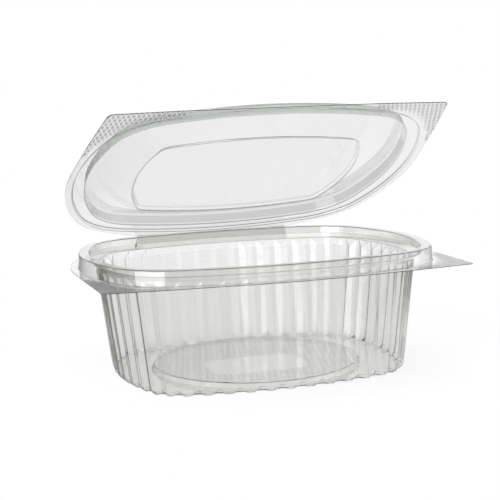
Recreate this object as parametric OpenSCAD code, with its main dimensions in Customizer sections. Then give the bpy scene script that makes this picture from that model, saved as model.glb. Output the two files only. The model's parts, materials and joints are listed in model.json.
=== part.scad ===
// Hinged oval salad container, pressed from one clear sheet: a fluted tub and its domed lid

/* [Main sizes] */
// Length over the tub's rim
rim_l = 190; // [150:1:230]
// Width over the tub's rim
rim_w = 162.5; // [130:0.5:200]
// Height of the rim's top above the table
rim_h = 67; // [50:0.5:100]
// Thickness of the sheet
sheet = 0.3; // [0.2:0.05:0.6]
// Angle at which the lid stands open
lid_open = 26.7; // [0:0.1:180]

/* [Plan] */
// Radius of the four corners at the rim
corner_r = 41; // [36:0.5:55]
// Half the turn of each end's arc
end_turn = 21.7; // [10:0.1:40]
// Where the corners run into the long sides
side_turn = 75.4; // [60:0.1:84]

/* [Fluted wall] */
// Flutes all round
flutes = 46; // [32:2:60]
// Depth of a flute
flute_d = 1.85; // [0.6:0.05:2.6]
// Share of the pitch that a flute takes
flute_share = 0.75; // [0.5:0.01:0.9]
// Inset of the wall's top from the rim
wall_top_in = 9.6; // [8:0.1:13]
// Inset of the wall's foot from the rim
wall_foot_in = 15.2; // [12:0.1:19]
// Height of the rounded bottom edge
edge_h = 7; // [4:0.5:12]
// Width of the rounded bottom edge
edge_w = 2.8; // [1.5:0.1:5]
// Length of the sloped flute tops
flute_top_h = 4; // [2:0.5:8]
// Share of the bottom edge's height where it folds
edge_fold = 0.3; // [0.2:0.05:0.5]
// Width of the flat land inside the bottom edge
foot_land = 2.5; // [1:0.1:4]

/* [Floor] */
// Length of the raised floor panel
floor_l = 114; // [70:1:130]
// Width of the raised floor panel
floor_w = 113; // [70:1:120]
// Rise of the floor panel
floor_rise = 2.6; // [1:0.1:5]
// Width of the slope round the floor panel
floor_step = 1.5; // [0.8:0.1:3]

/* [Rim] */
// Width of the rim's flat top
rim_top_w = 5.8; // [4:0.1:7]
// Height of the rim's outer band above the flange
band_h = 7.9; // [5:0.1:12]
// Height of the rim's inner wall
inner_h = 4; // [2:0.1:6]
// Lean of the rim's inner wall
inner_lean = 0.4; // [0.1:0.1:1]
// Height of the sloped ledge under it
ledge_h = 3; // [1.5:0.1:5]
// Size of the rim's rounded edges
rim_round = 0.9; // [0.5:0.1:1.5]
// Lean of the rim's outer band
band_lean = 0.3; // [0.1:0.1:0.8]
// Size of the fold between the band and the flange
band_fold = 0.6; // [0.4:0.1:1]

/* [Flange] */
// Width of the flange beyond the rim
flange_w = 4.5; // [3:0.1:7]
// Reach of the tub's front tabs past the rim's end
tub_tab_out = 2.2; // [-4:0.1:8]
// Inset of the tub's front tabs from the rim's front
tub_tab_in = 5; // [-4:0.1:10]
// Inset of the lid's front tabs from the rim's end
lid_tab_in = 6.6; // [-4:0.1:12]
// Reach of the lid's front tabs past the rim's front
lid_tab_out = 3.4; // [0:0.1:6]
// Radius of the tabs' tips
tab_r = 3.2; // [2:0.1:8]

/* [Lid] */
// Rise of the lid's ring above its flange
ring_rise = 1.5; // [1:0.1:3]
// Height of the dome's wall above the ring
dome_h = 6.6; // [3:0.1:14]
// Lean of the dome's wall
dome_lean = 0.7; // [0.2:0.1:3]
// Size of the dome's rounded edge
dome_round = 0.8; // [0.5:0.1:2]
// Inset of the middle panel from the rim
panel_in = 32.3; // [26:0.1:40]
// Height of the panel's foot above the lid's flange
panel_z = 0.2; // [-3:0.1:4]
// Step up to the middle panel
panel_step = 1.8; // [0.6:0.1:4]
// Lean of that step, as a share of its height
step_lean = 0.7; // [0.3:0.05:1.5]
// Lean of the ring's outer wall
ring_lean = 0.5; // [0.3:0.1:1]
// Size of the fold between the ring and the lid's flange
ring_fold = 0.4; // [0.3:0.1:0.8]

/* [Hinge] */
// Length of the hinge
hinge_w = 96; // [50:1:110]
// Air between the two sheets along the hinge
hinge_gap = 0.25; // [0.15:0.05:0.5]
// Play between the closed lid and the rim
lid_play = 0.3; // [0.2:0.05:0.6]

/* [Hidden] */

half_l = rim_l / 2;
half_w = rim_w / 2;
flange_z = rim_h - band_h;

// Hinge line, at the lid's flange behind the rim
hinge_y = half_w + flange_w - sheet;
hinge_z = rim_h + lid_play - ring_rise;

// Plan of eight tangent arcs: each is a centre, a radius and the turn it covers
side_k = (1 - sin(side_turn)) / cos(side_turn);
end_more = (half_w - corner_r - side_k * (half_l - corner_r)) / (sin(end_turn) - side_k * (1 - cos(end_turn)));
side_more = (half_l - corner_r - end_more * (1 - cos(end_turn))) / cos(side_turn);
end_c = half_l - corner_r - end_more;
side_c = corner_r + side_more - half_w;
corner_x = end_c + end_more * cos(end_turn);
corner_y = end_more * sin(end_turn);
arcs = [
  [[end_c, 0], corner_r + end_more, -end_turn, end_turn],
  [[corner_x, corner_y], corner_r, end_turn, side_turn],
  [[0, -side_c], corner_r + side_more, side_turn, 180 - side_turn],
  [[-corner_x, corner_y], corner_r, 180 - side_turn, 180 - end_turn],
  [[-end_c, 0], corner_r + end_more, 180 - end_turn, 180 + end_turn],
  [[-corner_x, -corner_y], corner_r, 180 + end_turn, 180 + side_turn],
  [[0, side_c], corner_r + side_more, 180 + side_turn, 360 - side_turn],
  [[corner_x, -corner_y], corner_r, 360 - side_turn, 360 - end_turn]
];

// Length along the middle of the wall, which spaces the flutes evenly
wall_mid_in = (wall_top_in + wall_foot_in) / 2;
lens = [for (a = arcs) (a[1] - wall_mid_in) * (a[3] - a[2]) * PI / 180];
function upto(i) = i == 0 ? 0 : upto(i - 1) + lens[i - 1];
starts = [for (i = [0 : 7]) upto(i)];
round_len = upto(8);

function last_of(v) = v[len(v) - 1];
function past(v, x) = last_of([for (j = [0 : 7]) if (x >= v[j]) j]);
function wrapped(x, full) = x - full * floor(x / full);

// A station is a turn of the plan's normal and the arc it lies on
function station(s) =
  let (t = wrapped(s + lens[0] / 2, round_len), i = past(starts, t))
  [arcs[i][2] + (t - starts[i]) / (arcs[i][1] - wall_mid_in) * 180 / PI, i];
function at(st, out) = arcs[st[1]][0] + (arcs[st[1]][1] + out) * [cos(st[0]), sin(st[0])];

pitch = round_len / flutes;
tub_stations = [for (f = [0 : flutes - 1], j = [-1, 0, 1]) station((f + j * flute_share / 2) * pitch)];
tub_flute = [for (f = [0 : flutes - 1], j = [-1, 0, 1]) j == 0 ? 1 : 0];
lid_count = 2 * flutes;
lid_stations = [for (k = [0 : lid_count - 1]) station(k * round_len / lid_count)];

// Flange outline: the widened plan drawn tight round the two front tabs and the hinge
tub_tab = [half_l + tub_tab_out, half_w - tub_tab_in];
lid_tab = [half_l - lid_tab_in, half_w + lid_tab_out];
turns = [for (t = [0 : 2 : 358]) t];
facing = 0.25;
backward = 0.1;
function arc_for(t) = past([for (a = arcs) a[2]], wrapped(t + end_turn, 360) - end_turn);
function support(t, tab, back) =
  let (u = [cos(t), sin(t)], a = arcs[arc_for(t)])
  max(
    a[0] * u + a[1] + flange_w,
    abs(tab[0] - tab_r) * abs(u[0]) - (tab[1] - tab_r) * u[1] + tab_r,
    hinge_w / 2 * abs(u[0]) + back * u[1]
  );
function supports(tab, back) = [for (t = turns) support(t, tab, back)];
function reach(d, held) =
  min([for (i = [0 : len(turns) - 1]) let (c = cos(d - turns[i])) if (c > facing) held[i] / c]);

// Directions are drawn together near a tab's tip, so that the tip stays crisp
near = 14;
draw = 1.8;
function off_by(d, e) = wrapped(d - e + 180, 360) - 180;
function pulled(d, e) = let (x = off_by(d, e)) abs(x) < near ? e + sign(x) * near * pow(abs(x) / near, draw) : d;
function edge_at(st, tab, held, back) =
  let (
    p = at(st, 0),
    tip = atan2(-tab[1] + tab_r, tab[0] - tab_r),
    d = pulled(pulled(atan2(p[1], p[0]), tip), 180 - tip),
    r = reach(d, held),
    cut = sin(d) > backward ? min(r, back / sin(d)) : r
  )
  cut * [cos(d), sin(d)];

// Underside of a sheet whose upper face follows a section line
function unit(v) = v / norm(v);
function left(a, b) = let (v = unit(b - a)) [-v[1], v[0]];
function mitre(sec, i) =
  let (
    a = i > 0 ? left(sec[i - 1], sec[i]) : [0, 1],
    b = i < len(sec) - 1 ? left(sec[i], sec[i + 1]) : [0, 1]
  )
  (a + b) / (1 + a * b);
function under(sec) = [for (i = [0 : len(sec) - 1]) sec[i] - sheet * mitre(sec, i)];

// Closed skin through rings of equal count, capped at both ends; at a fold row
// the faces are split from the valley's top to the ridge below it
module loft(rings, low, high, ridge, folds) {
  n = len(rings[0]);
  m = len(rings);
  points = [for (r = rings) each r, low, high];
  sides = [
    for (i = [0 : m - 2], k = [0 : n - 1])
      let (q = (k + 1) % n, a = i * n, b = (i + 1) * n)
      each folds[i] * (ridge[q] - ridge[k]) > 0
        ? [[a + k, b + k, a + q], [b + k, b + q, a + q]]
        : [[a + k, b + k, b + q], [a + k, b + q, a + q]]
  ];
  bottom = [for (k = [0 : n - 1]) [m * n, k, (k + 1) % n]];
  top = [for (k = [0 : n - 1]) [m * n + 1, (m - 1) * n + (k + 1) % n, (m - 1) * n + k]];
  polyhedron(points = points, faces = concat(sides, bottom, top), convexity = 10);
}

// Tub section from the floor panel to the flange: outset, height
floor_in = wall_foot_in + edge_w;
ledge_z = rim_h - inner_h;
wall_z = ledge_z - ledge_h;
tub_line = [
  [-half_w, sheet + floor_rise],
  [-half_w + floor_step, sheet],
  [-floor_in - foot_land - sheet, sheet],
  [-floor_in - sheet, sheet],
  [-wall_foot_in - edge_w * edge_fold - sheet, edge_h * edge_fold],
  [-wall_foot_in - sheet, edge_h],
  [-wall_top_in - sheet, wall_z - flute_top_h],
  [-wall_top_in - sheet, wall_z],
  [-rim_top_w - inner_lean, ledge_z],
  [-rim_top_w, rim_h - rim_round],
  [-rim_top_w + rim_round, rim_h],
  [-rim_round, rim_h],
  [0, rim_h - rim_round],
  [band_lean, flange_z + band_fold],
  [band_lean + band_fold, flange_z]
];

// Share of the flute's depth at each point of the section, and the way it is pressed
tub_share = [0, 0, 0, 0.5, 0.9, 1, 1, 0, 0, 0, 0, 0, 0, 0, 0];
tub_way = [for (i = [0 : len(tub_line) - 1]) unit(mitre(tub_line, i))];
tub_under = under(tub_line);

// The floor panel's edge is an ellipse, the other rings follow the plan
function panel_point(st, grow) =
  let (p = at(st, 0), d = atan2(p[1] / half_w, p[0] / half_l))
  [(floor_l / 2 + grow) * cos(d), (floor_w / 2 + grow) * sin(d)];
function tub_ring(line, i) = [
  for (k = [0 : len(tub_stations) - 1])
    let (
      press = flute_d * tub_share[i] * tub_flute[k] * tub_way[i],
      p = i < 2
        ? panel_point(tub_stations[k], line[i][0] - tub_line[0][0])
        : at(tub_stations[k], line[i][0] + press[0])
    )
    [p[0], p[1], line[i][1] + press[1]]
];

// At the back the flange turns up into the strip that carries the hinge
tub_held = supports(tub_tab, hinge_y);
strip_z = hinge_z - hinge_gap;
function on_hinge(p) = p[1] > 0 && abs(p[0]) <= hinge_w / 2 + hinge_gap;
function tub_edge(flat_in, flat_z, strip_in, strip_top) = [
  for (st = tub_stations)
    let (
      p = edge_at(st, tub_tab, tub_held, hinge_y),
      q = p - unit(p - at(st, last_of(tub_line)[0])) * (on_hinge(p) ? strip_in : flat_in)
    )
    [q[0], q[1], on_hinge(p) ? strip_top : flat_z]
];
last = len(tub_line) - 1;
tub_rings = concat(
  [for (i = [0 : last]) tub_ring(tub_under, i)],
  [
    tub_edge(sheet, flange_z - sheet, 0, flange_z - sheet),
    tub_edge(0, flange_z - sheet, 0, strip_z),
    tub_edge(0, flange_z, sheet, strip_z),
    tub_edge(sheet, flange_z, sheet, flange_z)
  ],
  [for (i = [last : -1 : 0]) tub_ring(tub_line, i)]
);
// The flutes' tops lie between these two points of the section and the next
top_row = 6;
tub_folds = [
  for (i = [0 : len(tub_rings) - 2])
    i == top_row ? 1 : i == len(tub_rings) - 2 - top_row ? -1 : 0
];

// Fluted tub with its raised floor panel, hollow rim and flange
module tub() {
  color([0.84, 0.88, 0.87])
    loft(tub_rings, [0, 0, tub_under[0][1]], [0, 0, tub_line[0][1]], tub_flute, tub_folds);
}

// Lid section from the middle panel to the flange, measured above the lid's flange
ring_in = rim_top_w + lid_play;
dome_z = ring_rise + dome_h;
dome_in = ring_in + dome_lean;
skirt = lid_play + sheet;
lid_line = [
  [-panel_in - panel_step * step_lean, panel_z + panel_step + sheet],
  [-panel_in, panel_z + sheet],
  [-dome_in - dome_round * 2, dome_z - dome_round / 4 + sheet],
  [-dome_in - dome_round, dome_z + sheet],
  [-dome_in, dome_z - dome_round / 2 + sheet],
  [-ring_in, ring_rise + sheet],
  [skirt, ring_rise + sheet],
  [skirt + ring_lean, sheet + ring_fold],
  [skirt + ring_lean + ring_fold, sheet]
];
lid_under = under(lid_line);
lid_back = hinge_y - hinge_gap;
lid_held = supports(lid_tab, lid_back);

function lid_ring(line, i) = [for (st = lid_stations) let (p = at(st, line[i][0])) [p[0], p[1], line[i][1]]];
function lid_edge(z) = [for (st = lid_stations) let (p = edge_at(st, lid_tab, lid_held, lid_back)) [p[0], p[1], z]];
lid_last = len(lid_line) - 1;
lid_rings = concat(
  [for (i = [0 : lid_last]) lid_ring(lid_under, i)],
  [lid_edge(0), lid_edge(sheet)],
  [for (i = [lid_last : -1 : 0]) lid_ring(lid_line, i)]
);

lid_flat = [for (st = lid_stations) 0];
lid_folds = [for (r = lid_rings) 0];

// Domed lid with its ring, tabs and stepped middle panel, swung open about the hinge
module lid() {
  color([0.88, 0.91, 0.91])
    translate([0, hinge_y, hinge_z])
    rotate([-lid_open, 0, 0])
    translate([0, -hinge_y, 0])
    loft(lid_rings, [0, 0, lid_under[0][1]], [0, 0, lid_line[0][1]], lid_flat, lid_folds);
}

tub();
lid();
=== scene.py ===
import json
import math

import bpy
from mathutils import Matrix, Vector


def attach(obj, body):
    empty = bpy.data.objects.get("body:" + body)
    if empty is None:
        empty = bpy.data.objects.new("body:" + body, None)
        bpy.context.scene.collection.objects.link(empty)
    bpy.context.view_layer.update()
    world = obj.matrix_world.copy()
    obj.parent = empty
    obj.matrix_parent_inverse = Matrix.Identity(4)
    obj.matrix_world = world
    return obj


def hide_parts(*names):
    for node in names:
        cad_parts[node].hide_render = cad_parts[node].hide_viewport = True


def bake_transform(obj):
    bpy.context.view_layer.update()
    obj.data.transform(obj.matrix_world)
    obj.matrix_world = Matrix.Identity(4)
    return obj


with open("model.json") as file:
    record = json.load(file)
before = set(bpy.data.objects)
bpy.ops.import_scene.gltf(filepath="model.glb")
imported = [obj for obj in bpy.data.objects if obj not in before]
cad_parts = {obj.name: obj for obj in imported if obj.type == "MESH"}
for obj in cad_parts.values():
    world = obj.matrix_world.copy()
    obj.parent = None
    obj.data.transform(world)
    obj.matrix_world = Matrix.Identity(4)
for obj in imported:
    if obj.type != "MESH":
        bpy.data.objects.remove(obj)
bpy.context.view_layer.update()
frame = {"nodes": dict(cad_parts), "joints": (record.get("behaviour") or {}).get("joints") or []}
scene = bpy.context.scene
mm = 0.001  # sizes below are in millimetres
print("frame loaded:", sorted(frame["nodes"]))


# Shader maths as plain expressions on sockets
class Shade:
    def __init__(self, tree, socket=None):
        self.tree = tree
        self.socket = socket

    def node(self, kind, settings, values, out=0):
        made = self.tree.nodes.new(kind)
        for key, value in settings.items():
            setattr(made, key, value)
        for key, value in values.items():
            if isinstance(value, Shade):
                self.tree.links.new(value.socket, made.inputs[key])
            else:
                made.inputs[key].default_value = value
        return Shade(self.tree, made.outputs[out])

    def maths(self, operation, *values):
        return self.node("ShaderNodeMath", {"operation": operation}, dict(enumerate(values)))

    def __add__(self, other):
        return self.maths("ADD", self, other)

    def __sub__(self, other):
        return self.maths("SUBTRACT", self, other)

    def __mul__(self, other):
        return self.maths("MULTIPLY", self, other)

    def __truediv__(self, other):
        return self.maths("DIVIDE", self, other)

    def __radd__(self, other):
        return self.maths("ADD", other, self)

    def __rsub__(self, other):
        return self.maths("SUBTRACT", other, self)

    def __rmul__(self, other):
        return self.maths("MULTIPLY", other, self)

    def __rtruediv__(self, other):
        return self.maths("DIVIDE", other, self)

    def other(self, out):
        return Shade(self.tree, self.socket.node.outputs[out])

    def feed(self, socket):
        self.tree.links.new(self.socket, socket)


# Plan: eight tangent arcs, each a centre, a radius and the turn that it covers
plan = dict(length=190, width=162.5, cornerRadius=41, endTurn=21.7, sideTurn=75.4)


def planArcs(endTurn, sideTurn):
    halfL, halfW, r = plan["length"] / 2, plan["width"] / 2, plan["cornerRadius"]
    a, b = math.radians(endTurn), math.radians(sideTurn)
    k = (1 - math.sin(b)) / math.cos(b)
    endMore = (halfW - r - k * (halfL - r)) / (math.sin(a) - k * (1 - math.cos(a)))
    sideMore = (halfL - r - endMore * (1 - math.cos(a))) / math.cos(b)
    endX = halfL - r - endMore
    sideY = r + sideMore - halfW
    x, y = endX + endMore * math.cos(a), endMore * math.sin(a)
    half = math.pi
    return [
        ((endX, 0), r + endMore, -a, a),
        ((x, y), r, a, b),
        ((0, -sideY), r + sideMore, b, half - b),
        ((-x, y), r, half - b, half - a),
        ((-endX, 0), r + endMore, half - a, half + a),
        ((-x, -y), r, half + a, half + b),
        ((0, sideY), r + sideMore, half + b, 2 * half - b),
        ((x, -y), r, 2 * half - b, 2 * half - a),
    ]


arcs = planArcs(plan["endTurn"], plan["sideTurn"])


# Stations are spaced along the middle of the fluted wall, from the middle of the right end
def stationAt(share, inset):
    lengths = [(r - inset) * (b - a) for c, r, a, b in arcs]
    s = (share % 1) * sum(lengths) + lengths[0] / 2
    s %= sum(lengths)
    for (c, r, a, b), length in zip(arcs, lengths):
        if s <= length:
            return c, r, a + s / (r - inset)
        s -= length
    return stationAt(0, inset)


def planPoint(station, out):
    c, r, t = station
    return Vector((c[0] + (r + out) * math.cos(t), c[1] + (r + out) * math.sin(t)))


# Flange outline: the widened plan drawn tight round the front tabs and the hinge
flange = dict(
    width=4.5, tipRadius=3.2, nearTip=14, pull=1.8, hingeLength=96, hingeSlack=0.1,
    turnStep=2, leastFacing=0.25, leastBehind=0.1,
)


# The arc whose turn holds this direction
def arcFor(t):
    t = (t + arcs[0][3]) % (2 * math.pi) - arcs[0][3]
    return [arc for arc in arcs if t >= arc[2]][-1]


def flangeSupports(tab, back):
    r = flange["tipRadius"]
    held = []
    for degrees in range(0, 360, flange["turnStep"]):
        t = math.radians(degrees)
        ux, uy = math.cos(t), math.sin(t)
        c, radius, a, b = arcFor(t)
        oval = c[0] * ux + c[1] * uy + radius + flange["width"]
        tip = (tab[0] - r) * abs(ux) - (tab[1] - r) * uy + r
        strip = flange["hingeLength"] / 2 * abs(ux) + back * uy
        held.append((t, max(oval, tip, strip)))
    return held


# Stations near a tip are drawn closer to it, so that its round is smooth
def pulled(d, tip):
    near = math.radians(flange["nearTip"])
    x = (d - tip + math.pi) % (2 * math.pi) - math.pi
    if abs(x) >= near:
        return d
    return tip + math.copysign(near * (abs(x) / near) ** flange["pull"], x)


def flangeEdge(station, tab, held, back):
    p = planPoint(station, 0)
    r = flange["tipRadius"]
    tip = math.atan2(r - tab[1], tab[0] - r)
    d = pulled(pulled(math.atan2(p.y, p.x), tip), math.pi - tip)
    reach = min(h / math.cos(d - t) for t, h in held if math.cos(d - t) > flange["leastFacing"])
    if math.sin(d) > flange["leastBehind"]:
        reach = min(reach, back / math.sin(d))
    return Vector((reach * math.cos(d), reach * math.sin(d)))


# A section line with its corners rounded: outset, height, share of the flute, painted shade at the
# corner, corner radius
def rounded(line, steps=6, mostCut=0.48):
    out = []
    for i, corner in enumerate(line):
        p, r = Vector(corner[:4]), corner[4]
        if r == 0 or i in (0, len(line) - 1):
            out.append(p)
            continue
        before, after = Vector(line[i - 1][:4]), Vector(line[i + 1][:4])
        turn = (p - before).to_2d().angle((after - p).to_2d())
        cut = r * math.tan(turn / 2)
        a = p.lerp(before, min(cut / (p - before).to_2d().length, mostCut))
        b = p.lerp(after, min(cut / (after - p).to_2d().length, mostCut))
        for k in range(steps + 1):
            t = k / steps
            q = a.lerp(p, t).lerp(p.lerp(b, t), t)
            # the painted shade is strongest in the middle of each round
            q[3] = p[3] * math.sin(math.pi * t)
            out.append(q)
    return out


def lineNormals(line):
    normals = []
    for i in range(len(line)):
        d = (line[min(i + 1, len(line) - 1)] - line[max(i - 1, 0)]).to_2d().normalized()
        normals.append(Vector((-d.y, d.x)))
    return normals


# One skin through rings of equal count, closed at its middle, then thickened to the sheet
pressing = dict(thick=0.3, sharpFrom=20)


def pressedSheet(name, rings, middle, plans, marks, folds):
    count = len(rings[0])
    verts = [p for ring in rings for p in ring] + [middle]
    faces = [(len(verts) - 1, k, (k + 1) % count) for k in range(count)]
    for i in range(len(rings) - 1):
        a, b = i * count, (i + 1) * count
        for k in range(count):
            q = (k + 1) % count
            if i not in folds:
                faces.append((a + k, b + k, b + q, a + q))
            elif folds[i][k] < folds[i][q]:
                faces += [(a + k, b + k, a + q), (b + k, b + q, a + q)]
            else:
                faces += [(a + k, b + k, b + q), (a + k, b + q, a + q)]
    mesh = bpy.data.meshes.new(name)
    mesh.from_pydata([p * mm for p in verts], [], faces)
    mesh.polygons.foreach_set("use_smooth", [True] * len(mesh.polygons))
    flat = plans + [Vector((0, 0))]
    planMap = mesh.uv_layers.new(name="planMap")
    for loop in mesh.loops:
        planMap.data[loop.index].uv = flat[loop.vertex_index] * mm
    for mark, values in marks.items():
        mesh.attributes.new(mark, "FLOAT", "POINT").data.foreach_set("value", values + [values[0]])
    mesh.update()
    mesh.set_sharp_from_angle(angle=math.radians(pressing["sharpFrom"]))
    # only the flutes' slanted tops are sharp; lower down the folds are bent within their narrow strips
    smooth = min(folds, default=0) * count
    for edge in mesh.edges:
        if max(edge.vertices[0], edge.vertices[1]) < smooth:
            edge.use_edge_sharp = False
    piece = bpy.data.objects.new(name, mesh)
    scene.collection.objects.link(piece)
    solid = piece.modifiers.new("sheet", "SOLIDIFY")
    solid.thickness = pressing["thick"] * mm
    solid.offset = -1
    normals = piece.modifiers.new("normals", "WEIGHTED_NORMAL")
    normals.keep_sharp = True
    return piece


# Tub: floor panel, fluted wall, hollow rim, flange and the strip that carries the hinge
tub = dict(
    footLand=2.5, height=67, flutes=46, fluteDepth=1.85, fluteShare=0.75, fluteTop=4,
    wallTop=9.6, wallFoot=15.2, edgeHeight=7, edgeWidth=2.8, edgeBelly=0.3,
    panelLength=114, panelWidth=113, panelRise=2.6, panelStep=1.5, panelRing=6, panelLand=1.5,
    rimTop=5.8, band=7.9, innerWall=4, ledge=3, ledgeLip=0.3, rimLean=0.4, flangeRoot=2,
    flangeRows=((0.3, 0), (0.6, 0), (0.88, 0.02), (1, 0.12), (1, 1)),  # shares of the way out and up
    tabOut=2.2, tabIn=5, facetMarks=(0, 0.05, 0.5, 0.95, 1), landMarks=(0.08, 0.92), underTop=0.015,
    knurlFrom=(66, -30), knurlMargin=1.9, grainRings=3, footFlute=0.5, bellyFlute=0.9,
    # painted shade at the flange's outer edge, over the fluted wall, along the flute folds and over the
    # hinge strip
    edgeShade=0.4, wallShade=0.1, fluteShade=0.03, stripShade=0.45,
    corner=dict(  # painted shade and radius of each corner
        panelTop=(0.7, 0.5), panelFoot=(0.5, 0.5), foot=(0.55, 0.8), belly=(0.15, 1.6), wall=(0, 4),
        ledgeLip=(0.2, 0.3), ledge=(0.3, 0.7), rim=(0.4, 0.9), band=(0.5, 0.7), none=(0, 0),
    ),
)
hinge = frame["joints"][0]
hingeY, hingeZ = hinge["pos_m"][1] / mm, hinge["pos_m"][2] / mm
hingeGap = 0.25  # the lid's flange and the tub's strip stop this short of the hinge line


def tubStations():
    half, marks = tub["fluteShare"] / 2, tub["facetMarks"]
    offsets = [-half * m for m in marks[:0:-1]] + [half * m for m in marks]
    offsets += [half + (1 - 2 * half) * m for m in tub["landMarks"]]
    inset = (tub["wallTop"] + tub["wallFoot"]) / 2
    stations, flutes = [], []
    for flute in range(tub["flutes"]):
        for u in offsets:
            stations.append(stationAt((flute + u) / tub["flutes"], inset))
            flutes.append(max(0, 1 - abs(u) / half))
    return stations, flutes


def knurlMark(p, root, part):
    fromX, fromY = part["knurlFrom"]
    return float(abs(p.x) > fromX and p.y < fromY and (p - root).length > part["knurlMargin"])


def makeTub():
    t = pressing["thick"]
    stations, flutes = tubStations()
    ledgeZ = tub["height"] - tub["innerWall"]
    wallZ = ledgeZ - tub["ledge"]
    flangeZ = tub["height"] - tub["band"]
    top = t + tub["panelRise"]
    corner = tub["corner"]
    panelLine = rounded([
        (-tub["panelRing"], top, 0, *corner["none"]),
        (0, top, 0, *corner["panelTop"]),
        (tub["panelStep"], t, 0, *corner["panelFoot"]),
        (tub["panelStep"] + tub["panelLand"], t, 0, *corner["none"]),
    ])
    foot, edge, belly = -tub["wallFoot"] - t, tub["edgeWidth"], tub["edgeBelly"]
    wallEnd = Vector((-tub["wallTop"] - t, wallZ - tub["fluteTop"]))
    underTop = wallEnd.lerp(Vector((foot, tub["edgeHeight"])), tub["underTop"])
    wallLine = rounded([
        (foot - edge - tub["footLand"], t, 0, *corner["none"]),
        (foot - edge, t, tub["footFlute"], *corner["foot"]),
        (foot - edge * belly, tub["edgeHeight"] * belly, tub["bellyFlute"], *corner["belly"]),
        (foot, tub["edgeHeight"], 1, *corner["wall"]),
        (underTop.x, underTop.y, 1, *corner["none"]),
        (wallEnd.x, wallEnd.y, 1, *corner["none"]),
    ])
    foldRow = len(panelLine) + len(wallLine) - 1
    facets = tub["facetMarks"][1:]
    for mark in facets:
        wallLine.append(Vector((-tub["wallTop"] - t, wallZ - tub["fluteTop"] * (1 - mark), 1 - mark, 0)))
    rimLine = rounded([
        (-tub["wallTop"] - t, wallZ, 0, *corner["none"]),
        (-tub["wallTop"] - t, wallZ + tub["ledgeLip"], 0, *corner["ledgeLip"]),
        (-tub["rimTop"] - tub["rimLean"], ledgeZ, 0, *corner["ledge"]),
        (-tub["rimTop"], tub["height"], 0, *corner["rim"]),
        (0, tub["height"], 0, *corner["rim"]),
        (tub["rimLean"], flangeZ, 0, *corner["band"]),
        (tub["flangeRoot"], flangeZ, 0, *corner["none"]),
    ])[1:]
    line = wallLine + rimLine
    normals = lineNormals(line)
    rings = []
    for grow, z, *rest in panelLine:
        ring = []
        for station in stations:
            p = planPoint(station, 0)
            d = math.atan2(p.y / plan["width"], p.x / plan["length"])
            x, y = tub["panelLength"] / 2 + grow, tub["panelWidth"] / 2 + grow
            ring.append(Vector((x * math.cos(d), y * math.sin(d), z)))
        rings.append(ring)
    for (o, z, share, *rest), n in zip(line, normals):
        ring = []
        for station, flute in zip(stations, flutes):
            depth = tub["fluteDepth"] * min(flute, share)
            p = planPoint(station, o + n.x * depth)
            ring.append(Vector((p.x, p.y, z + n.y * depth)))
        rings.append(ring)
    # the flange runs out to its edge, and turns up behind the rim to carry the hinge
    tab = (plan["length"] / 2 + tub["tabOut"], plan["width"] / 2 - tub["tabIn"])
    back = hingeY - t
    held = flangeSupports(tab, back)
    roots = [planPoint(s, line[-1].x) for s in stations]
    edges = [flangeEdge(s, tab, held, back) for s in stations]
    rise = hingeZ - hingeGap - flangeZ
    for out, up in tub["flangeRows"]:
        ring = []
        for root, p in zip(roots, edges):
            onHinge = p.y > 0 and abs(p.x) <= flange["hingeLength"] / 2 + flange["hingeSlack"]
            q = root.lerp(p, out)
            ring.append(Vector((q.x, q.y, flangeZ + (rise * up if onHinge else 0))))
        rings.append(ring)
    plans = [p.to_2d() for ring in rings for p in ring]
    rows = len(tub["flangeRows"])
    flat = len(rings) - rows
    # painted shade for each ring: at the corners' folds and at the flange's outer edge
    paintedShades = [p[3] for p in panelLine + line] + [0] * (rows - 1) + [tub["edgeShade"]]
    knurl, grain, paintedShade = [], [], []
    for i, ring in enumerate(rings):
        for p, root, flute in zip(ring, roots, flutes):
            knurl.append(knurlMark(p.to_2d(), root, tub) if i >= flat else 0.0)
            grain.append(1.0 if i < tub["grainRings"] else 0.0)
            shade = paintedShades[i]
            # painted shade over the fluted wall, a little more along the flute folds, and over the hinge
            # strip
            if len(panelLine) < i <= foldRow:
                shade = max(shade, tub["wallShade"] + (tub["fluteShade"] if flute in (0, 1) else 0))
            elif i >= flat and p.y > 0 and abs(p.x) < flange["hingeLength"] / 2:
                shade = max(shade, tub["stripShade"])
            paintedShade.append(shade)
    folds = {foldRow + k: flutes for k in range(len(facets))}
    return pressedSheet("tub_sheet", rings, Vector((0, 0, top)), plans,
                        {"knurl": knurl, "grain": grain, "paintedShade": paintedShade}, folds)


# Lid: stepped panel, dished top, dome wall, ring and flange, swung open about the hinge
lid = dict(
    play=0.3, ringRise=1.5, ringGap=0.3, domeHeight=6.6, domeLean=0.7, domeEase=1.2,
    domeShares=(0.1, 0.2), skirtLean=0.5, flangeRoot=2, flangeRows=(0.3, 0.6, 0.97, 1), stations=368,
    panelInset=32.3, panelZ=0.2, panelStep=1.8, panelLean=0.7, panelRing=5, middleShare=0.7,
    tabIn=6.6, tabOut=3.4, knurlFrom=(49, -37), knurlMargin=1.9,
    # the lid's painted shade at the folds: its least share, its share at the middle, and how fast it
    # grows towards the hinge
    leastShadeScale=0.4, shadeScaleMiddle=0.75, shadeScaleReach=80,
    # painted shade and radius of each corner
    corner=dict(
        panel=(0.45, 0.7), dome=(0.16, 0.8), wall=(0.28, 0), ring=(0.45, 0.6),
        skirt=(1, 0.85), skirtFoot=(0.3, 0.4), none=(0, 0),
    ),
)
lidOpen = math.radians(-hinge["range_deg"][0])


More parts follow.
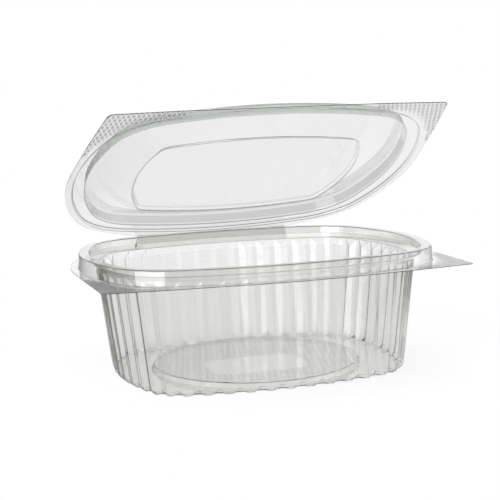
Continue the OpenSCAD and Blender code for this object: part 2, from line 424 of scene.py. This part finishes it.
def makeLid():
    t = pressing["thick"]
    inset = (tub["wallTop"] + tub["wallFoot"]) / 2
    stations = [stationAt(k / lid["stations"], inset) for k in range(lid["stations"])]
    ringIn = tub["rimTop"] + lid["ringGap"]
    domeZ = lid["ringRise"] + lid["domeHeight"]
    skirt = lid["play"] + t
    step, panelIn = lid["panelStep"], lid["panelInset"] + lid["panelStep"] * lid["panelLean"]
    domeIn = ringIn + lid["domeLean"]
    upper, lower = lid["domeShares"]
    corner = lid["corner"]
    line = rounded([
        (-panelIn - lid["panelRing"], lid["panelZ"] + step + t, 0, *corner["none"]),
        (-panelIn, lid["panelZ"] + step + t, 0, *corner["panel"]),
        (-lid["panelInset"], lid["panelZ"] + t, 0, *corner["panel"]),
        (-domeIn - corner["dome"][1], domeZ + t, 0, *corner["dome"]),
        (-domeIn + lid["domeLean"] * upper, domeZ - lid["domeEase"] + t, 0, *corner["wall"]),
        (-ringIn - lid["domeLean"] * lower, lid["ringRise"] + lid["domeEase"] + t, 0, *corner["wall"]),
        (-ringIn, lid["ringRise"] + t, 0, *corner["ring"]),
        (skirt, lid["ringRise"] + t, 0, *corner["skirt"]),
        (skirt + lid["skirtLean"], t, 0, *corner["skirtFoot"]),
        (skirt + lid["flangeRoot"], t, 0, *corner["none"]),
    ])
    rings = []
    for o, z, *rest in line:
        rings.append([Vector((*planPoint(s, o), z)) for s in stations])
    middle = lid["middleShare"]
    rings.insert(0, [Vector((p.x * middle, p.y * middle, p.z)) for p in rings[0]])
    back = hingeY - hingeGap
    tab = (plan["length"] / 2 - lid["tabIn"], plan["width"] / 2 + lid["tabOut"])
    held = flangeSupports(tab, back)
    roots = [planPoint(s, line[-1].x) for s in stations]
    edges = [flangeEdge(s, tab, held, back) for s in stations]
    for out in lid["flangeRows"]:
        rings.append([Vector((*root.lerp(p, out), t)) for root, p in zip(roots, edges)])
    plans = [p.to_2d() for ring in rings for p in ring]
    rows = len(lid["flangeRows"])
    flat = len(rings) - rows
    # painted shade for each ring, at the corners' folds
    paintedShades = [0] + [p[3] for p in line] + [0] * rows
    knurl, paintedShade, cut = [], [], []
    for i, ring in enumerate(rings):
        for p, root in zip(ring, roots):
            knurl.append(knurlMark(p.to_2d(), root, lid) if i >= flat else 0.0)
            # the painted shade at the folds is weaker towards the free edge and full towards the hinge
            pale = lid["shadeScaleMiddle"] + p.y / lid["shadeScaleReach"]
            paintedShade.append(paintedShades[i] * min(1, max(lid["leastShadeScale"], pale)))
            cut.append(float(i == len(rings) - 1))
    piece = pressedSheet("lid_sheet", rings, Vector((0, 0, rings[0][0].z)), plans,
                         {"knurl": knurl, "paintedShade": paintedShade, "cut": cut}, {})
    swing = Matrix.Rotation(-lidOpen, 4, "X")
    lift = Matrix.Translation((0, hingeY * mm, hingeZ * mm))
    piece.data.transform(lift @ swing @ Matrix.Translation((0, -hingeY * mm, 0)))
    return piece


# Fold of film along the hinge, lapping the strip and the lid's flange
film = dict(length=95, lap=0.9, thick=0.12, clear=0.04, steps=6)


def makeFilm():
    profile = []
    for side in (film["clear"], film["clear"] + film["thick"]):
        row = [Vector((side, -film["lap"]))]
        for k in range(film["steps"] + 1):
            a = (math.pi / 2 - lidOpen) * k / film["steps"]
            row.append(Vector((side * math.cos(a), side * math.sin(a))))
        along = Vector((-math.cos(lidOpen), math.sin(lidOpen)))
        row.append(row[-1] + along * film["lap"])
        profile.append(row)
    loop = profile[0] + profile[1][::-1]
    verts = []
    for x in (-film["length"] / 2, film["length"] / 2):
        verts += [Vector((x, hingeY + p.x, hingeZ + p.y)) * mm for p in loop]
    n = len(loop)
    rows = len(profile[0])
    faces = [(k, (k + 1) % n, n + (k + 1) % n, n + k) for k in range(n)]
    for k in range(rows - 1):
        faces.append((k + 1, k, n - 1 - k, n - 2 - k))
        faces.append((n + k, n + k + 1, 2 * n - 2 - k, 2 * n - 1 - k))
    mesh = bpy.data.meshes.new("hinge_film")
    mesh.from_pydata(verts, [], faces)
    mesh.uv_layers.new(name="planMap")
    piece = bpy.data.objects.new("hinge_film", mesh)
    scene.collection.objects.link(piece)
    return piece


# Clear sheet: tinted glassy plastic, slightly wavy, with knurled tabs and a grained floor, with painted
# shade on the knurl pattern, on the floor's grain pattern and along the folds
tubLook = dict(
    # the second colour is painted shade for the knurl and grain patterns, the third is painted shade
    # along the folds
    tint=(0.925, 0.93, 0.92, 1), textureShadeColour=(0.52, 0.525, 0.52, 1), fold=(0.45, 0.455, 0.45, 1), ior=1.5,
    roughness=0.03, knurlRough=0.16, grainRough=0.04, waveRough=0.02, cutRough=0.6,
    knurlPitch=1.7, knurlLong=5, knurlHeight=0.03, knurlCell=(0.1, 0.6),
    grainPitch=2.4, grainLong=4, grainShade=0.65,
    windowPlace=(-4, -14), windowSize=(27, 19), windowSquare=4,
    wave=0.01, waveScale=55, waveDetail=2,
)
lidLook = dict(
    # as for the tub, with near-black painted shade along the lid's folds
    tubLook, tint=(0.85, 0.86, 0.85, 1), textureShadeColour=(0.48, 0.485, 0.48, 1), fold=(0.05, 0.055, 0.05, 1),
    ior=1.42, knurlRough=0.12, knurlPitch=1.75, knurlLong=3, wave=0.012,
)


def clearSheet(name, look):
    mat = bpy.data.materials.new(name)
    mat.use_nodes = True
    tree = mat.node_tree
    shader = tree.nodes["Principled BSDF"]
    shader.inputs["Transmission Weight"].default_value = 1
    shader.inputs["IOR"].default_value = look["ior"]
    s = Shade(tree)
    place = s.node("ShaderNodeUVMap", {"uv_map": "planMap"}, {})
    split = s.node("ShaderNodeSeparateXYZ", {}, {"Vector": place})
    u = split / mm
    v = split.other("Y") / mm
    # marks that the sheet carries; one that it lacks reads as nothing
    knurl, grain, paintedShade, cut = (
        s.node("ShaderNodeAttribute", {"attribute_name": mark}, {}, "Fac")
        for mark in ("knurl", "grain", "paintedShade", "cut")
    )
    # a smooth window is left in the grained floor
    (atX, atY), (longX, longY) = look["windowPlace"], look["windowSize"]
    offX = s.maths("ABSOLUTE", (u - atX) / longX)
    offY = s.maths("ABSOLUTE", (v - atY) / longY)
    square = look["windowSquare"]
    away = s.maths("POWER", offX, square) + s.maths("POWER", offY, square)
    grain = grain * s.maths("GREATER_THAN", away, 1)

    def diamonds(pitch, long):
        slant = pitch * math.sqrt(2)
        a = s.maths("PINGPONG", (u + v / long) / slant, 0.5) * 2
        b = s.maths("PINGPONG", (u - v / long) / slant, 0.5) * 2
        return s.maths("MINIMUM", a, b)

    points = diamonds(look["knurlPitch"], look["knurlLong"])
    # painted shade over the knurl's diamonds and the floor's grain pattern, standing in for the light on
    # their bumps
    low, high = look["knurlCell"]
    knurlShading = s.node("ShaderNodeMapRange", {"interpolation_type": "SMOOTHSTEP"},
                   {"Value": points, "From Min": low, "From Max": high}) * knurl
    grainShading = diamonds(look["grainPitch"], look["grainLong"]) * grain
    spot = s.node("ShaderNodeTexCoord", {}, {}, "Object")
    wave = s.node("ShaderNodeTexNoise", {},
                  {"Vector": spot, "Scale": look["waveScale"], "Detail": look["waveDetail"]})
    height = points * knurl * look["knurlHeight"] + wave * look["wave"]
    bump = s.node("ShaderNodeBump", {}, {"Height": height, "Distance": mm, "Strength": 1})
    bump.feed(shader.inputs["Normal"])
    # 6, 7 and output 2 are a Mix node's colour sockets
    # mixes in the painted shade of the knurl and grain patterns
    colour = s.node("ShaderNodeMix", {"data_type": "RGBA"},
                    {"Factor": knurlShading + grainShading * look["grainShade"], 6: look["tint"], 7: look["textureShadeColour"]}, 2)
    # painted shade along the folds, over the walls, on the hinge strip and at the flange edge
    colour = s.node("ShaderNodeMix", {"data_type": "RGBA"},
                    {"Factor": paintedShade, 6: colour, 7: look["fold"]}, 2)
    colour.feed(shader.inputs["Base Color"])
    rough = knurl * look["knurlRough"] + grain * look["grainRough"] + look["roughness"]
    rough = rough + wave * look["waveRough"] + cut * look["cutRough"]
    rough.feed(shader.inputs["Roughness"])
    return mat


# Camera from the photograph's viewing angle
shot = dict(
    azimuth=-16.63, elevation=7.61, roll=-1.98, distance=640.5, aim=(-0.35, 2.59, 63.81),
    lens=82.71, sensor=36, nearClip=0.01,
)


def viewAxes():
    a, e, r = (math.radians(shot[key]) for key in ("azimuth", "elevation", "roll"))
    back = Vector((math.sin(a) * math.cos(e), -math.cos(a) * math.cos(e), math.sin(e)))
    right = Vector((math.cos(a), math.sin(a), 0))
    up = back.cross(right)
    return right * math.cos(r) + up * math.sin(r), up * math.cos(r) - right * math.sin(r), back


def makeCamera():
    across, along, back = viewAxes()
    data = bpy.data.cameras.new("camera")
    data.lens = shot["lens"]
    data.sensor_width = shot["sensor"]
    data.clip_start = shot["nearClip"]
    camera = bpy.data.objects.new("camera", data)
    scene.collection.objects.link(camera)
    turn = Matrix((across, along, back)).transposed().to_4x4()
    camera.matrix_world = Matrix.Translation((Vector(shot["aim"]) + back * shot["distance"]) * mm) @ turn
    scene.camera = camera


# Bright field, in metres: a white panel just filling the frame, dark grey round about, paler on the
# right, and a pale floor that fades out before its edge
stage = dict(
    grey=0.14, greyRight=0.34, paleSide=0.5,
    panelHalf=0.226, fadeAcross=0.42, fadeAlong=0.9, leastAhead=0.01,
    floorPlace=(0.07, 0.15, -0.0003), floorSize=(0.2, 0.32, 1), floorSides=96,
    floorFade=0.6, floorGlow=0.9, floorColour=(0.2, 0.2, 0.2, 1), bounces=24,
    keyPower=8.5, keySize=(0.72, 1.0), keyPlace=(-0.82, -0.475, 0.25), keyAim=(0, 0, 0.25),
    fillPower=1.7, fillSize=(0.7, 0.8), fillPlace=(0.84, -0.446, 0.25), fillAim=(0, 0, 0.25),
    topPower=2.2, topSize=(0.6, 0.5), topPlace=(0.1, 0.1, 0.9), topAim=(0, 0, 0.05),
)


def makeWorld():
    world = bpy.data.worlds.new("studio")
    scene.world = world
    world.use_nodes = True
    tree = world.node_tree
    s = Shade(tree)
    way = s.node("ShaderNodeTexCoord", {}, {}, "Generated")
    across, along, back = viewAxes()

    def part(axis):
        return s.node("ShaderNodeVectorMath", {"operation": "DOT_PRODUCT"}, {0: way, 1: axis}, "Value")

    ahead = s.maths("MAXIMUM", part(-back), stage["leastAhead"])

    # 1 within the panel, falling to 0 at the edge
    def inside(axis, edge):
        off = s.maths("ABSOLUTE", part(axis)) / ahead
        return s.node("ShaderNodeMapRange", {"interpolation_type": "SMOOTHSTEP"},
                      {"Value": off, "From Min": edge, "From Max": stage["panelHalf"]})

    panel = inside(across, stage["fadeAcross"]) * inside(along, stage["fadeAlong"])
    side = s.node("ShaderNodeMapRange", {"interpolation_type": "SMOOTHSTEP"},
                  {"Value": part(across), "From Min": 0, "From Max": stage["paleSide"]})
    grey = side * (stage["greyRight"] - stage["grey"]) + stage["grey"]
    level = panel * (1 - grey) + grey
    level.feed(tree.nodes["Background"].inputs["Strength"])
    tree.nodes["Background"].inputs["Color"].default_value = (1, 1, 1, 1)


def makeFloor():
    count = stage["floorSides"]
    turns = [2 * math.pi * k / count for k in range(count)]
    verts = [(math.cos(t), math.sin(t), 0) for t in turns]
    mesh = bpy.data.meshes.new("floor")
    mesh.from_pydata(verts, [], [tuple(range(count))])
    floor = bpy.data.objects.new("floor", mesh)
    scene.collection.objects.link(floor)
    floor.location = stage["floorPlace"]
    floor.scale = stage["floorSize"]
    mat = bpy.data.materials.new("floor_paper")
    mat.use_nodes = True
    tree = mat.node_tree
    tree.nodes.remove(tree.nodes["Principled BSDF"])
    s = Shade(tree)
    ray = s.node("ShaderNodeLightPath", {}, {}, "Is Camera Ray")
    seen = ray + ray.other("Is Glossy Ray") + ray.other("Is Transmission Ray")
    seen = s.maths("MINIMUM", seen, 1)
    paper = s.node("ShaderNodeBsdfDiffuse", {}, {"Color": stage["floorColour"]})
    glow = s.node("ShaderNodeEmission", {}, {"Strength": seen * stage["floorGlow"]})
    lit = s.node("ShaderNodeAddShader", {}, {0: paper, 1: glow})
    spot = s.node("ShaderNodeTexCoord", {}, {}, "Object")
    away = s.node("ShaderNodeVectorMath", {"operation": "LENGTH"}, {0: spot}, "Value")
    fade = s.node("ShaderNodeMapRange", {"interpolation_type": "SMOOTHSTEP"}, {
        "Value": away, "From Min": stage["floorFade"], "From Max": 1})
    clear = s.node("ShaderNodeBsdfTransparent", {}, {})
    mixed = s.node("ShaderNodeMixShader", {}, {0: fade, 1: lit, 2: clear})
    mixed.feed(tree.nodes["Material Output"].inputs["Surface"])
    mesh.materials.append(mat)


def softbox(name):
    light = bpy.data.lights.new(name + "_box", "AREA")
    light.shape = "RECTANGLE"
    light.size, light.size_y = stage[name + "Size"]
    light.energy = stage[name + "Power"]
    lamp = bpy.data.objects.new(name + "_box", light)
    place, aim = Vector(stage[name + "Place"]), Vector(stage[name + "Aim"])
    lamp.location = place
    lamp.rotation_euler = (aim - place).to_track_quat("-Z", "Y").to_euler()
    scene.collection.objects.link(lamp)


scene.view_settings.view_transform = "Standard"
scene.cycles.max_bounces = stage["bounces"]
scene.cycles.transmission_bounces = stage["bounces"]
scene.cycles.transparent_max_bounces = stage["bounces"]
scene.cycles.caustics_refractive = False
scene.cycles.caustics_reflective = False
makeCamera()
makeWorld()
makeFloor()
for name in ("key", "fill", "top"):
    softbox(name)
print("stage and camera set")

tubPiece = makeTub()
tubPiece.data.materials.append(clearSheet("tub_clear", tubLook))
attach(tubPiece, "tub")
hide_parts("tub")
print("tub made:", len(tubPiece.data.polygons), "faces")

lidPiece = makeLid()
lidPiece.data.materials.append(clearSheet("lid_clear", lidLook))
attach(lidPiece, "lid")
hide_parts("lid")
print("lid made:", len(lidPiece.data.polygons), "faces")

filmPiece = makeFilm()
filmPiece.data.materials.append(clearSheet("film_clear", tubLook))
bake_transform(filmPiece)
print("hinge film made")
